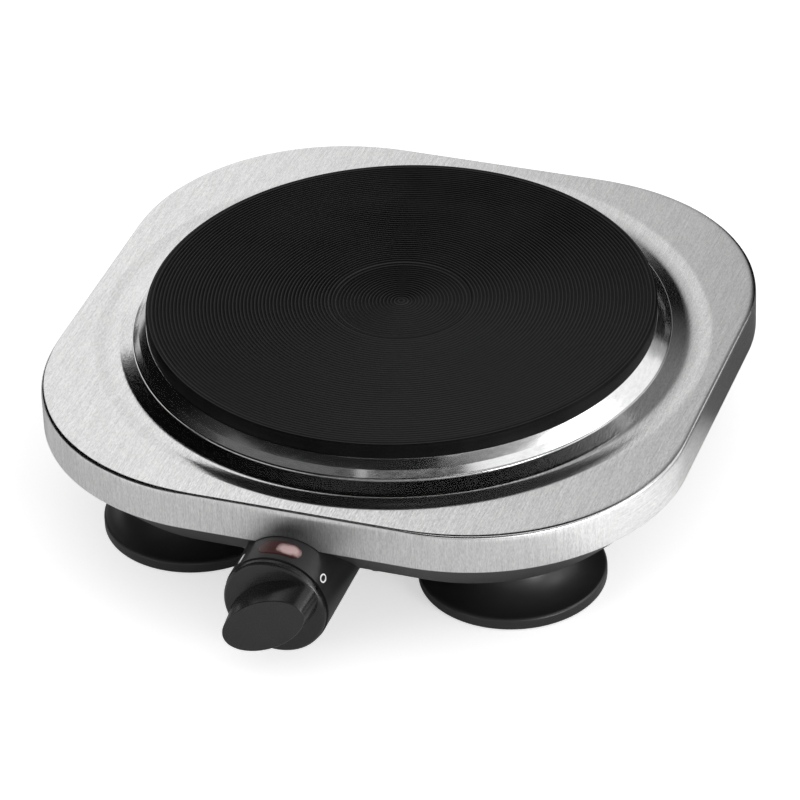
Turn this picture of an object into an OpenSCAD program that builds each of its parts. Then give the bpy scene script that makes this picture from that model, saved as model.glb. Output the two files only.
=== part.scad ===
// Single electric hot plate: a cast-iron cooking plate in a pressed steel cover, on a moulded base
// with four bell feet. A round control housing at the front holds the thermostat, pilot lamp and knob.
// The origin is on the ground at the middle of the whole outline, knob included. +Z is up and the
// knob faces -Y. Each module is drawn about the plate's own axis and put in its place at the end.

/* [Overall] */
// Height of the cooking surface above the ground
plate_top = 68.5; // [64:0.5:76]
// Width and depth of the steel cover
cover_side = 237; // [232:1:244]
// Corner radius of the steel cover, seen from above
corner_r = 77; // [72:1:82]

/* [Steel cover] */
// Thickness of the pressed sheet
sheet_t = 0.8; // [0.6:0.1:1]
// Height of the cooking surface above the flat top of the cover
plate_proud = 13.3; // [12:0.1:15]
// Height of the cover from its lower edge to its flat top
skirt_h = 14.8; // [12:0.1:17]
// Radius of the bend between the flat top and the skirt
edge_r = 3; // [2:0.5:4]
// Radius where the shallow spill dish begins
dish_r = 112; // [110:0.5:113]
// Depth of the spill dish
dish_depth = 0.45; // [0.3:0.05:0.8]
// Radius of the crease at the foot of the raised collar
crease_r = 103.8; // [102:0.1:105]
// Rise of the collar for each millimetre towards the plate
collar_slope = 0.3775; // [0.3:0.0025:0.42]

/* [Cooking plate] */
// Radius of the cast-iron plate
plate_r = 92.5; // [90:0.5:93]
// Height of the plate's bare side
plate_side = 5.6; // [5:0.1:6.5]
// Radius of the recess in the middle of the plate
recess_r = 24.8; // [20:0.2:30]
// Depth of the recess
recess_depth = 0.8; // [0.4:0.1:1.2]
// Distance from one machined groove to the next
groove_pitch = 1.4; // [1.2:0.1:2]
// Depth of the machined grooves
groove_depth = 0.25; // [0.15:0.05:0.4]
// Outer radius of the polished spill ring
ring_r = 97.9; // [97.5:0.1:98.2]
// Outer radius of each embedded heating coil
coil_wire_r = 3; // [2.5:0.1:3.4]

/* [Base and feet] */
// Height of the underside of the base above the ground
base_z = 21.6; // [20:0.2:24]
// How far the underside of the base stands in from the side of the cover
base_inset = 18.7; // [16:0.1:22]
// Wall thickness of the moulded base
base_wall = 2.5; // [2:0.1:3]
// Distance of each foot from the two centre lines
foot_x = 60; // [56:0.5:64]
// Radius of a foot at the ground
foot_r = 33.7; // [30:0.1:36]
// Height of the straight rim of a foot
foot_rim = 4.8; // [3:0.1:6]
// Radius of a foot where it meets the base
foot_neck_r = 17; // [14:0.5:20]

/* [Control] */
// Sideways place of the knob's axis
knob_x = -2.5; // [-6:0.5:6]
// Height of the knob's axis above the ground
knob_z = 25.2; // [23:0.1:28]
// Radius of the round control housing
housing_r = 19; // [18:0.1:20]
// Distance from the centre to the front face of the housing
housing_front = 131; // [128:0.5:134]
// Gap between the knob and the housing
knob_gap = 0.4; // [0.35:0.05:0.8]
// Length of the knob
knob_len = 14; // [12:0.2:16]
// Angle of the knob's pointer above the horizontal when it is off
knob_rest = 33; // [20:1:45]

/* [Hidden] */

$fn = 96;
eps = 0.05;                                   // overshoot of a cut, so that it passes right through

// Heights and radii of the cover
half = cover_side / 2;
plate_y = (housing_front + knob_gap + knob_len - half) / 2;   // plate's axis behind the origin
flat_z = plate_top - plate_proud;             // flat top of the cover
skirt_z = flat_z - skirt_h;                   // lower edge of the skirt
trough_z = flat_z - dish_depth;               // floor of the spill dish
trough_r = crease_r + 3.2;                    // outer edge of the dish's floor
hole_r = 94;                                  // hole that the cooking plate sits in
under_trough = trough_z - sheet_t;            // underside of the dish's floor
under_flat = flat_z - sheet_t;                // underside of the flat top
function collar_z(r) = trough_z + (crease_r - r) * collar_slope;

// Heights and radii of the cooking plate
rim_z = plate_top - plate_side;               // underside of the plate's overhanging rim
body_r = 88;                                  // plate below its rim
body_z = rim_z - 7.4;                         // lower edge of the casting
groove_top = rim_z + 0.1;                     // ceiling of the two heating channels
inner_band = [30, 54];                        // radii of the inner heating channel
outer_band = [58, 84];                        // radii of the outer heating channel
coil_z = groove_top - coil_wire_r - 0.9;      // middle of the coils
ring_t = 0.7;                                 // sheet of the spill ring

// Stack below the plate, from the top down
backing_t = 0.8;
backing_z = body_z - backing_t;
bar_z = 43;                                   // underside of the clamp bar's middle
bar_t = 1.5;
shield_t = 0.8;
shield_z = bar_z - shield_t;
washer_t = 1.2;
nut_h = 4;
stud_r = 3;

// Base
lip_inset = 1.3;                              // rim of the base inside the skirt
lip_z = skirt_z - 0.9;                        // where the sloping wall begins
lip_top = skirt_z + 6;                        // upper edge of the base's rim
lip_t = 2.2;
floor_z = base_z + base_wall;                 // upper side of the base's floor
boss_top = 38;                                // top of the posts that carry the brackets
boss_r = 6;

// Feet
foot_seat = 11;                               // seat of a foot's screw head
bracket_t = 1.5;
screw_r = 2;
corners = [for (sx = [-1, 1], sy = [-1, 1]) [sx * foot_x, sy * foot_x]];

// Control
bore_r = housing_r - 2.4;                     // inside of the housing
housing_back = 92;                            // rear face of the housing, from the centre
front_wall = 2.4;
frame_y = -housing_front + front_wall;        // front of the thermostat's frame
spindle_r = 3;
spindle_end = -119.4;                         // rear end of the spindle
block_y = -120.5;                             // front of the thermostat's ceramic body
block_len = 19.5;
pin_r = 1.4;
pin_travel = 1;                               // slide of the adjusting pin
leaf_y = block_y + block_len;                 // front of the contact leaf

// Cord inlet at the rear
inlet_z = 30;
inlet_y = 116.4;                              // rear face of the inlet boss
cord_r = 4;

// ---------- shared shapes ----------

// A rounded square centred on the Z axis, as a solid from its side profile. The profile is given
// for the side of the square: x is measured from the outline's side (negative inwards), y is Z.
module rounded_square(profile) {
    span = half - corner_r;
    for (sx = [-1, 1], sy = [-1, 1])
        translate([sx * span, sy * span, 0])
            rotate_extrude()
                polygon(concat([[0, profile[0][1]]],
                               [for (p = profile) [corner_r + p[0], p[1]]],
                               [[0, profile[len(profile) - 1][1]]]));
    for (turn = [0, 90])
        rotate([90, 0, turn])
            translate([0, 0, -span])
                linear_extrude(2 * span)
                    polygon(concat([for (p = profile) [half + p[0], p[1]]],
                                   [for (i = [len(profile) - 1:-1:0])
                                       [-half - profile[i][0], profile[i][1]]]));
}

// Points of a bend of radius r around a centre, from the side to the top
function bend(cx, cy, r, steps = 8) =
    [for (i = [0:steps]) [cx + r * cos(90 * i / steps), cy + r * sin(90 * i / steps)]];

// A wire or sleeve of round section through a list of points; each run overlaps the next a little
module lead(points, r) {
    last = len(points) - 2;
    for (i = [0:last]) {
        run = points[i + 1] - points[i];
        length = norm(run);
        before = i == 0 ? 0 : r * 0.7;
        after = i == last ? 0 : r * 0.7;
        translate(points[i])
            rotate([0, acos(run[2] / length), atan2(run[1], run[0])])
                translate([0, 0, -before])
                    cylinder(h = length + before + after, r = r, $fn = 12);
    }
}

// A slot with round ends along X
module slot(length, width) {
    square([length - width, width], center = true);
    for (side = [-1, 1])
        translate([side * (length - width) / 2, 0])
            circle(d = width, $fn = 32);
}

// Puts its children on the knob's axis: their +Z points to the front along -Y, from y
module on_knob_axis(y) {
    translate([knob_x, y, knob_z])
        rotate([90, 0, 0])
            children();
}

// A pan-head screw standing on its head, with the head's underside at z = 0
module pan_screw(shank_r, shank_h, head_r, head_h) {
    cylinder(h = shank_h, r = shank_r, $fn = 32);
    difference() {
        translate([0, 0, -head_h])
            cylinder(h = head_h, r1 = head_r * 0.8, r2 = head_r, $fn = 32);
        for (turn = [0, 90])
            rotate(turn)
                translate([0, 0, -head_h + 0.4])
                    cube([head_r * 1.2, head_r * 0.22, 0.8 + eps], center = true);
    }
}

// ---------- steel cover ----------

// A strip of sheet swept round the rounded square's outline; x of the profile is measured from
// the outline (negative inwards), y is Z
module rounded_strip(profile) {
    span = half - corner_r;
    for (turn = [0:90:270])
        rotate(turn) {
            translate([span, span, 0])
                rotate_extrude(angle = 90)
                    translate([corner_r, 0])
                        polygon(profile);
            translate([half, span, 0])
                rotate([90, 0, 0])
                    linear_extrude(2 * span)
                        polygon(profile);
        }
}

// The rounded square's plan shape, drawn in from its outline
module rounded_plan(inset) {
    span = half - corner_r;
    for (sx = [-1, 1], sy = [-1, 1])
        translate([sx * span, sy * span])
            circle(r = corner_r - inset);
    square([2 * (half - inset), 2 * span], center = true);
    square([2 * span, 2 * (half - inset)], center = true);
}

module top_cover() {
    inner_bend = edge_r - sheet_t;
    outer_arc = bend(-edge_r, flat_z - edge_r, edge_r);
    inner_arc = bend(-edge_r, flat_z - edge_r, inner_bend);
    color("silver")
    difference() {
        union() {
            rounded_strip(concat([[-sheet_t, skirt_z], [0, skirt_z]], outer_arc,
                                 [for (i = [len(inner_arc) - 1:-1:0]) inner_arc[i]]));
            difference() {
                translate([0, 0, under_flat])
                    linear_extrude(sheet_t)
                        rounded_plan(edge_r);
                translate([0, 0, under_flat - eps])
                    cylinder(h = sheet_t + 2 * eps, r = dish_r + 0.5);
            }
            rotate_extrude($fn = 180)
                polygon([
                    [hole_r, collar_z(hole_r)], [crease_r, trough_z], [trough_r, trough_z],
                    [dish_r, flat_z], [dish_r + 0.6, flat_z],
                    [dish_r + 0.6, under_flat], [dish_r, under_flat],
                    [trough_r, under_trough], [crease_r, under_trough],
                    [hole_r, collar_z(hole_r) - sheet_t]
                ]);
        }
        on_knob_axis(-half + 3)
            cylinder(h = 10, r = housing_r + 0.25);
    }
}

// Stepped brackets welded under the corners of the cover; the foot screws run into them
module cover_brackets() {
    inner = foot_x * sqrt(2) - 8;
    web = dish_r + 1;
    outer = dish_r + 14;
    color("gainsboro")
    for (p = corners)
        rotate(atan2(p[1], p[0]))
            difference() {
                translate([0, 8, 0])
                    rotate([90, 0, 0])
                        linear_extrude(16)
                            polygon([
                                [inner, boss_top], [web + bracket_t, boss_top],
                                [web + bracket_t, under_flat - bracket_t],
                                [outer, under_flat - bracket_t], [outer, under_flat],
                                [web, under_flat], [web, boss_top + bracket_t],
                                [inner, boss_top + bracket_t]
                            ]);
                translate([foot_x * sqrt(2), 0, boss_top - eps])
                    cylinder(h = bracket_t + 2 * eps, r = screw_r + 0.05, $fn = 32);
            }
}

// ---------- cooking plate ----------

// Radii of the machined ridges between two radii, from the outside in
function ridges(from_r, to_r) =
    let (count = floor((from_r - to_r) / groove_pitch))
    [for (i = [0:count - 1]) from_r - i * groove_pitch];

module hot_plate() {
    chamfer = 0.8;
    face_r = plate_r - 1.6;
    hub_z = body_z + 1.5;
    outer_ridges = ridges(face_r, recess_r + 1.2);
    recess_ridges = ridges(recess_r - 1.4, 4);
    recess_z = plate_top - recess_depth;
    color("#1c1c1c")
    difference() {
        rotate_extrude($fn = 180)
            polygon(concat(
                [[0, hub_z], [inner_band[0], hub_z], [inner_band[0], groove_top],
                 [inner_band[1], groove_top], [inner_band[1], body_z], [outer_band[0], body_z],
                 [outer_band[0], groove_top], [outer_band[1], groove_top],
                 [outer_band[1], body_z], [body_r, body_z], [body_r, rim_z], [plate_r, rim_z],
                 [plate_r, plate_top - chamfer], [plate_r - chamfer, plate_top]],
                [for (r = outer_ridges)
                    each [[r, plate_top], [r - groove_pitch / 2, plate_top - groove_depth]]],
                [[recess_r + 0.9, plate_top], [recess_r, recess_z]],
                [for (r = recess_ridges)
                    each [[r, recess_z], [r - groove_pitch / 2, recess_z - groove_depth]]],
                [[0, recess_z]]));
        translate([0, 0, hub_z - eps])
            cylinder(h = 6, r = stud_r, $fn = 32);
    }
}

module spill_ring() {
    edge_z = collar_z(ring_r) + 0.03;
    slope = (rim_z - edge_z) / (ring_r - plate_r - 0.1);
    fall = sqrt(1 + slope * slope) * ring_t;      // sheet thickness measured straight down
    heel_r = (rim_z - fall + slope * (plate_r + 0.1) - trough_z - 0.05 - crease_r * collar_slope)
        / (slope - collar_slope);
    sleeve_r = body_r + 0.3;
    bead_r = 0.5;
    color("white") {
        rotate_extrude($fn = 180)
            polygon([
                [sleeve_r, rim_z], [plate_r + 0.1, rim_z], [ring_r, edge_z],
                [heel_r, collar_z(heel_r) + 0.05],
                [plate_r + 0.1 - (fall - ring_t) / slope, rim_z - ring_t],
                [sleeve_r + ring_t, rim_z - ring_t], [sleeve_r + ring_t, body_z + 0.5],
                [sleeve_r, body_z + 0.5]
            ]);
        rotate_extrude($fn = 180)
            translate([ring_r - 0.4, collar_z(ring_r - 0.4) + bead_r + 0.1])
                circle(r = bead_r, $fn = 24);
    }
}

// A ring of resistance coil with two tails down through the backing sheet
module coil(radius, gap, tail_turn) {
    color("goldenrod") {
        translate([0, 0, coil_z])
            rotate(90 + gap)
                rotate_extrude(angle = 360 - 2 * gap)
                    translate([radius, 0])
                        circle(r = coil_wire_r, $fn = 24);
        for (side = [-1, 1])
            rotate(90 + side * (gap + tail_turn))
                translate([radius, 0, backing_z + 0.1])
                    cylinder(h = coil_z - backing_z, r = 1, $fn = 24);
    }
}
module inner_coil() { coil((inner_band[0] + inner_band[1]) / 2, 12, 2); }
module outer_coil() { coil((outer_band[0] + outer_band[1]) / 2, 8, 1); }

// Pressed magnesia that holds a coil in its channel
module filler(band) {
    middle = (band[0] + band[1]) / 2;
    channel = coil_wire_r + 0.1;
    color("#cfc8b8")
    rotate_extrude()
        polygon([
            [band[0] + 0.05, body_z + 0.2], [middle - channel, body_z + 0.2],
            [middle - channel, coil_z + channel], [middle + channel, coil_z + channel],
            [middle + channel, body_z + 0.2], [band[1] - 0.05, body_z + 0.2],
            [band[1] - 0.05, groove_top], [band[0] + 0.05, groove_top]
        ]);
}
module inner_filler() { filler(inner_band); }
module outer_filler() { filler(outer_band); }

module plate_backing() {
    color("lightsteelblue")
    difference() {
        translate([0, 0, backing_z])
            cylinder(h = backing_t, r = outer_band[1] + 2.5);
        translate([0, 0, backing_z - eps]) {
            cylinder(h = backing_t + 2 * eps, r = 12);
            for (radius = [42, 71], side = [-1, 1])
                rotate(90 + side * (radius < 50 ? 14 : 9))
                    translate([radius, 0, 0])
                        cylinder(h = backing_t + 2 * eps, r = 2.2, $fn = 32);
        }
    }
}

module plate_stud() {
    color("gray")
    translate([0, 0, shield_z - washer_t - nut_h - 3])
        cylinder(h = body_z + 7 - shield_z + washer_t + nut_h + 3, r = stud_r - 0.02, $fn = 32);
}

module clamp_bar() {
    knee = 88;
    shoulder = 98;
    pad = trough_r;
    rise = (under_trough - bar_t - bar_z) / (shoulder - knee);
    shift = bar_t * (sqrt(1 + rise * rise) - 1) / rise;
    side = [
        [knee, bar_z], [shoulder, under_trough - bar_t], [pad, under_trough - bar_t],
        [pad, under_trough], [shoulder - shift, under_trough], [knee - shift, bar_z + bar_t]
    ];
    color("lightsteelblue")
    difference() {
        translate([0, 9, 0])
            rotate([90, 0, 0])
                linear_extrude(18)
                    polygon(concat(side, [for (i = [len(side) - 1:-1:0]) [-side[i][0], side[i][1]]]));
        translate([0, 0, bar_z - eps])
            cylinder(h = bar_t + 2 * eps, r = stud_r + 0.2, $fn = 32);
        for (side_x = [-1, 1])
            translate([side_x * 45, 0, bar_z - eps])
                linear_extrude(bar_t + 2 * eps)
                    slot(50, 7);
    }
}

module heat_shield() {
    shield_r = 74;
    color("lightgray")
    difference() {
        rotate_extrude()
            polygon([
                [0, shield_z], [shield_r - shield_t, shield_z], [shield_r - shield_t, shield_z - 3],
                [shield_r, shield_z - 3], [shield_r, bar_z], [0, bar_z]
            ]);
        translate([0, 0, shield_z - eps])
            cylinder(h = 2, r = stud_r + 0.2, $fn = 32);
        translate([-20, 36, shield_z - 4])
            cube([40, 50, 6]);
    }
}

module plate_washer() {
    color("silver")
    translate([0, 0, shield_z - washer_t])
        difference() {
            cylinder(h = washer_t, r = 9);
            translate([0, 0, -eps])
                cylinder(h = washer_t + 2 * eps, r = stud_r + 0.1, $fn = 32);
        }
}

module plate_nut() {
    color("gray")
    translate([0, 0, shield_z - washer_t - nut_h])
        difference() {
            cylinder(h = nut_h, r = 5.8, $fn = 6);
            translate([0, 0, -eps])
                cylinder(h = nut_h + 2 * eps, r = stud_r + 0.02, $fn = 32);
        }
}

// Ceramic block under the plate, with a pin for each lead
block_top = 54.7;
block_pins = [[-9, 54], [9, 54]];
module terminal_block() {
    color("ivory")
    difference() {
        translate([-15, 44, backing_z - 8])
            cube([30, 20, 8]);
        for (p = block_pins)
            translate([p[0], p[1], backing_z - 8 - eps])
                cylinder(h = 8 + 2 * eps, r = 1.6, $fn = 32);
        translate([-3, 43, backing_z - 8 - eps])
            cube([6, 22, 4]);
    }
}
module plate_terminals() {
    color("gold")
    for (p = block_pins)
        translate([p[0], p[1], backing_z - 11])
            cylinder(h = 11, r = 1.55, $fn = 32);
}

// Bimetal cut-out that breaks the circuit if the plate runs dry of heat control
module thermal_cutout() {
    color("ivory")
    translate([0, -30, backing_z - 7]) {
        cylinder(h = 7, r = 8, $fn = 48);
        translate([-11, -2.5, 3])
            cube([22, 5, 1.2]);
    }
}

// ---------- base ----------

function wall_inset(z) = lip_inset + (lip_z - z) * (base_inset - lip_inset) / (lip_z - base_z);

module vent_rows() {
    for (side = [-1, 1], row = [0:6])
        translate([side * 22, -27 + row * 9])
            slot(34, 3.6);
}

module base_pan() {
    edge = 1.2;
    inner_floor = wall_inset(floor_z) + base_wall + 0.9;
    color("#222222")
    difference() {
        union() {
            difference() {
                rounded_square([
                    [-base_inset - edge, base_z], [-wall_inset(base_z + edge), base_z + edge],
                    [-lip_inset, lip_z], [-lip_inset, lip_top]
                ]);
                rounded_square([
                    [-inner_floor, floor_z], [-lip_inset - lip_t, lip_z + 1.2],
                    [-lip_inset - lip_t, lip_top + eps]
                ]);
            }
            for (p = corners)
                translate([p[0], p[1], floor_z - eps])
                    cylinder(h = boss_top - floor_z + eps, r = boss_r, $fn = 48);
            intersection() {
                translate([0, inlet_y, inlet_z])
                    rotate([90, 0, 0])
                        cylinder(h = 16, r = 9.2, $fn = 64);
                translate([-20, 90, base_z])
                    cube([40, 40, 30]);
            }
            for (side = [-1, 1])
                translate([side * 46 - 1, -70, floor_z - eps])
                    cube([2, 140, 4]);
        }
        for (p = corners)
            translate([p[0], p[1], base_z - eps])
                cylinder(h = boss_top, r = screw_r + 0.2, $fn = 32);
        translate([0, 0, base_z - eps])
            linear_extrude(base_wall + 2 * eps)
                vent_rows();
        translate([0, inlet_y + eps, inlet_z])
            rotate([90, 0, 0])
                cylinder(h = 30, r = 7, $fn = 48);
        on_knob_axis(-housing_back + 0.2)
            cylinder(h = 45, r = housing_r + 0.15);
        for (side = [-1, 1])
            translate([knob_x + side * 24, -95, base_z - eps])
                cylinder(h = base_wall + 2 * eps, r = 1.7, $fn = 32);
    }
}

// Bush that lines the cord inlet
module cord_gland() {
    color("#181818")
    translate([0, 0, inlet_z])
        difference() {
            union() {
                translate([0, inlet_y, 0])
                    rotate([90, 0, 0])
                        cylinder(h = 18, r = 6.95, $fn = 48);
                translate([0, inlet_y + 2, 0])
                    rotate([90, 0, 0])
                        cylinder(h = 2, r = 8.2, $fn = 48);
            }
            translate([0, inlet_y + 3, 0])
                rotate([90, 0, 0])
                    cylinder(h = 24, r = cord_r, $fn = 48);
        }
}

// Screw terminals where the mains cord is joined to the leads
mains_y = 76;
module mains_block() {
    color("ivory")
    difference() {
        translate([-16, mains_y - 7, floor_z])
            cube([32, 14, 10]);
        for (x = [-10, 0, 10]) {
            translate([x, mains_y - 7 - eps, floor_z + 5])
                rotate([-90, 0, 0])
                    cylinder(h = 14 + 2 * eps, r = 2, $fn = 32);
            translate([x, mains_y, floor_z + 5])
                cylinder(h = 5 + eps, r = 1.6, $fn = 32);
        }
    }
}
module mains_screws() {
    color("gold")
    for (x = [-10, 0, 10])
        translate([x, mains_y, floor_z + 7.2])
            cylinder(h = 2.6, r = 1.55, $fn = 32);
}

// ---------- control ----------

// Oval of the pilot lamp's window, seen from above
module lens_outline(grow) {
    slot(15.4 + 2 * grow, 7 + 2 * grow);
}
lens_y = -125;

module control_housing() {
    length = housing_front - housing_back;
    color("#242424")
    difference() {
        union() {
            on_knob_axis(-housing_back)
                cylinder(h = length, r = housing_r);
            for (side = [-1, 1])
                translate([knob_x + side * 22.5 - 6, -98, floor_z])
                    cube([12, 6, 4]);
        }
        on_knob_axis(-housing_back - 2)
            cylinder(h = length - 2 - front_wall, r = bore_r);
        on_knob_axis(-housing_front + front_wall + eps)
            cylinder(h = front_wall + 2 * eps, r = 5.2, $fn = 48);
        translate([knob_x - 12, -104, 30])
            cube([24, 14, 20]);
        translate([knob_x, lens_y, knob_z])
            linear_extrude(housing_r + 2)
                lens_outline(0.05);
        for (side = [-1, 1]) {
            translate([knob_x + side * 24, -95, floor_z - eps])
                cylinder(h = 4 + 2 * eps, r = 1.55, $fn = 32);
            translate([knob_x + side * 9.5, -housing_front - eps, knob_z])
                rotate([-90, 0, 0])
                    cylinder(h = front_wall + 2 * eps, r = 1.5, $fn = 32);
        }
    }
}

module housing_screws() {
    color("gray")
    for (side = [-1, 1])
        translate([knob_x + side * 24, -95, base_z])
            pan_screw(1.5, 6.2, 3.2, 1.8);
}

module pilot_lens() {
    flange_r = bore_r - 1;
    color("firebrick", 0.7)
    difference() {
        union() {
            intersection() {
                on_knob_axis(-housing_back)
                    cylinder(h = 40, r = housing_r + 0.25);
                translate([knob_x, lens_y, knob_z + 8])
                    linear_extrude(20)
                        lens_outline(0);
            }
            intersection() {
                on_knob_axis(-housing_back)
                    cylinder(h = 40, r = bore_r - 0.02);
                translate([knob_x, lens_y + 0.5, knob_z + 8])
                    linear_extrude(20)
                        lens_outline(0.5);
            }
        }
        on_knob_axis(-housing_back)
            cylinder(h = 42, r = flange_r);
    }
}

lamp_r = 2.3;
lamp_z = knob_z + bore_r - 1.4 - lamp_r;
module neon_lamp() {
    color("orange", 0.6)
    translate([knob_x, -126.5, lamp_z])
        rotate([-90, 0, 0]) {
            cylinder(h = 8, r = lamp_r, $fn = 32);
            translate([0, 0, 8])
                cylinder(h = 2, r1 = lamp_r, r2 = 1.2, $fn = 32);
        }
}

module lamp_lead() {
    color("white")
    lead([[knob_x, -116.5, lamp_z], [knob_x, -113, lamp_z], [knob_x, -108, knob_z + 10]], 0.6);
}

module thermostat_frame() {
    color("lightsteelblue")
    difference() {
        union() {
            translate([knob_x - 12.4, frame_y, knob_z - 6])
                cube([24.8, 1.2, 12]);
            for (side = [-1, 1])
                translate([knob_x + side * 11.6 - 0.6, frame_y, knob_z - 5])
                    cube([1.2, 18, 10]);
            on_knob_axis(frame_y + 6.5)
                cylinder(h = 6.5 + front_wall - 0.2, r = 5, $fn = 48);
        }
        on_knob_axis(frame_y + 8)
            cylinder(h = 14, r = spindle_r + 0.05, $fn = 48);
        for (side = [-1, 1])
            translate([knob_x + side * 9.5, frame_y - eps, knob_z])
                rotate([-90, 0, 0])
                    cylinder(h = 1.2 + 2 * eps, r = 1.3, $fn = 32);
    }
}

module thermostat_screws() {
    color("silver")
    for (side = [-1, 1])
        translate([knob_x + side * 9.5, -housing_front + 0.4, knob_z])
            rotate([-90, 0, 0]) {
                cylinder(h = front_wall + 1.6, r = 1.25, $fn = 32);
                cylinder(h = 1, r = 1.45, $fn = 32);
            }
}

module thermostat_body() {
    color("ivory")
    difference() {
        translate([knob_x - 10.9, block_y, knob_z - 9])
            cube([21.8, block_len, 18]);
        on_knob_axis(block_y + 3)
            cylinder(h = 3 + eps, r = spindle_r + 0.6, $fn = 48);
        on_knob_axis(leaf_y + eps)
            cylinder(h = block_len + 1, r = pin_r + 0.05, $fn = 32);
        for (side = [-1, 1])
            translate([knob_x + side * 10.9 - 2, block_y + 6, knob_z - 9 - eps])
                cube([4, 7, 2 + eps]);
    }
}

module contact_leaf() {
    color("gold")
    translate([knob_x - 3, leaf_y + 0.3, knob_z - 8.5])
        cube([6, 0.4, 14]);
}

module leaf_post() {
    color("ivory")
    difference() {
        translate([knob_x - 4, leaf_y, knob_z - 13])
            cube([8, 4.2, 7]);
        translate([knob_x - 3.05, leaf_y + 0.25, knob_z - 8.55])
            cube([6.1, 0.5, 3]);
        translate([knob_x - 3.05, leaf_y + 2.95, knob_z - 8.55])
            cube([6.1, 0.7, 3]);
    }
}

module bimetal_leaf() {
    color("goldenrod")
    translate([knob_x - 3, leaf_y + 3, knob_z - 8.5])
        cube([6, 0.6, 16]);
}

module adjust_pin() {
    color("white")
    on_knob_axis(leaf_y)
        cylinder(h = block_len - 2.5, r = pin_r, $fn = 32);
}

spindle_in = 8.2;                             // depth of the spindle in the knob

module spindle() {
    front = housing_front + knob_gap + spindle_in - 0.4;
    color("gray")
    difference() {
        on_knob_axis(spindle_end)
            cylinder(h = front + spindle_end, r = spindle_r, $fn = 48);
        on_knob_axis(-housing_front - 0.2)
            rotate(knob_rest)
                translate([-5, 2.2, 0])
                    cube([10, 5, 12]);
    }
}

// Flat dial with an oval grip that tapers towards its end and reaches across the whole dial
module knob() {
    hub_r = 6;
    rim_r = 18.6;
    face_z = 3;
    color("#262626")
    on_knob_axis(-housing_front - knob_gap)
        difference() {
            union() {
                rotate_extrude()
                    polygon([
                        [0, 0], [hub_r, 0], [hub_r, 1.2], [rim_r - 2, 1.2], [rim_r - 2, 0],
                        [rim_r - 0.2, 0], [rim_r, 0.3], [rim_r, 2], [rim_r - 0.3, 2.6],
                        [rim_r - 1, face_z], [0, face_z]
                    ]);
                rotate(knob_rest)
                    translate([0, 0, 1.6])
                        scale([1, 0.55, 1])
                            cylinder(h = knob_len - 1.6, r1 = rim_r - 0.1, r2 = 17.2, $fn = 120);
            }
            translate([0, 0, -eps])
                cylinder(h = spindle_in, r = spindle_r + 0.05, $fn = 48);
            rotate(knob_rest)
                translate([rim_r - 0.9, -0.5, -eps])
                    cube([2, 1, 1.4]);
        }
}

module knob_clip() {
    color("silver")
    on_knob_axis(-housing_front - knob_gap - 0.8)
        rotate(knob_rest)
            translate([-1.3, 2.22, 0])
                cube([2.6, 0.5, 6]);
}

// ---------- leads ----------

module live_lead() {
    color("brown")
    lead([[-10, mains_y - 7.2, 29.1], [-10, 64, 28], [-34, 44, 28], [-34, -52, 28],
          [-10, -84, 30], [-8, -94, 33], [-8, leaf_y + 0.2, 33]], 1.2);
}
module neutral_lead() {
    color("royalblue")
    lead([[0, mains_y - 7.2, 29.1], [0, 64, 31], [-9, 54, 36], [-9, 54, backing_z - 11.1]], 1.2);
}
module switched_lead() {
    color("black")
    lead([[9, 54, backing_z - 11.1], [9, 54, 35], [33, 42, 28.5], [34, -50, 28],
          [11, -84, 30.5], [4, -93, 33], [3.5, leaf_y + 0.2, 33]], 1.2);
}

// ---------- feet ----------

module foot(p) {
    shell = 2.2;
    cove = foot_r - 2.2 - foot_neck_r;           // sideways reach of the flare
    rise = base_z - foot_rim;
    outer = [for (i = [0:12]) let (a = 90 * i / 12)
        [foot_neck_r + cove * (1 - sin(a)), foot_rim + rise * (1 - cos(a))]];
    inner = [for (i = [12:-1:0]) let (a = 90 * i / 12)
        [foot_neck_r - shell + cove * (1 - sin(a)), foot_rim + rise * (1 - cos(a)) - shell]];
    color("#1e1e1e")
    translate([p[0], p[1], 0]) {
        difference() {
            rotate_extrude()
                polygon(concat(
                    [[foot_r - 0.3, 0.3], [foot_r, 0.8], [foot_r, foot_rim - 0.8],
                     [foot_r - 0.6, foot_rim]],
                    outer,
                    [[0, base_z], [0, base_z - shell]],
                    inner,
                    [[foot_r - 5.2, foot_rim - shell], [foot_r - 5.2, 0.3]]));
            translate([0, 0, -eps])
                difference() {
                    cylinder(h = 1.6 + eps, r = foot_r - 1);
                    translate([0, 0, -eps])
                        cylinder(h = 3, r = foot_r - 4);
                }
            translate([0, 0, base_z - shell - 1])
                cylinder(h = shell + 2, r = screw_r + 0.2, $fn = 32);
        }
        difference() {
            translate([0, 0, foot_seat - 2])
                cylinder(h = base_z - shell - foot_seat + 2 + eps, r = boss_r, $fn = 48);
            translate([0, 0, foot_seat - 2 - eps])
                cylinder(h = 2 + 2 * eps, r = 4.4, $fn = 48);
            translate([0, 0, foot_seat - 2])
                cylinder(h = 20, r = screw_r + 0.2, $fn = 32);
        }
    }
}

// Rubber ring let into the rim of a foot; it carries the weight
module pad(p) {
    color("dimgray")
    translate([p[0], p[1], 0])
        difference() {
            cylinder(h = 1.55, r = foot_r - 1.05);
            translate([0, 0, -eps])
                cylinder(h = 2, r = foot_r - 3.95);
        }
}

module foot_front_left() { foot([-foot_x, -foot_x]); }
module foot_front_right() { foot([foot_x, -foot_x]); }
module foot_rear_left() { foot([-foot_x, foot_x]); }
module foot_rear_right() { foot([foot_x, foot_x]); }
module pad_front_left() { pad([-foot_x, -foot_x]); }
module pad_front_right() { pad([foot_x, -foot_x]); }
module pad_rear_left() { pad([-foot_x, foot_x]); }
module pad_rear_right() { pad([foot_x, foot_x]); }

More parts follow.
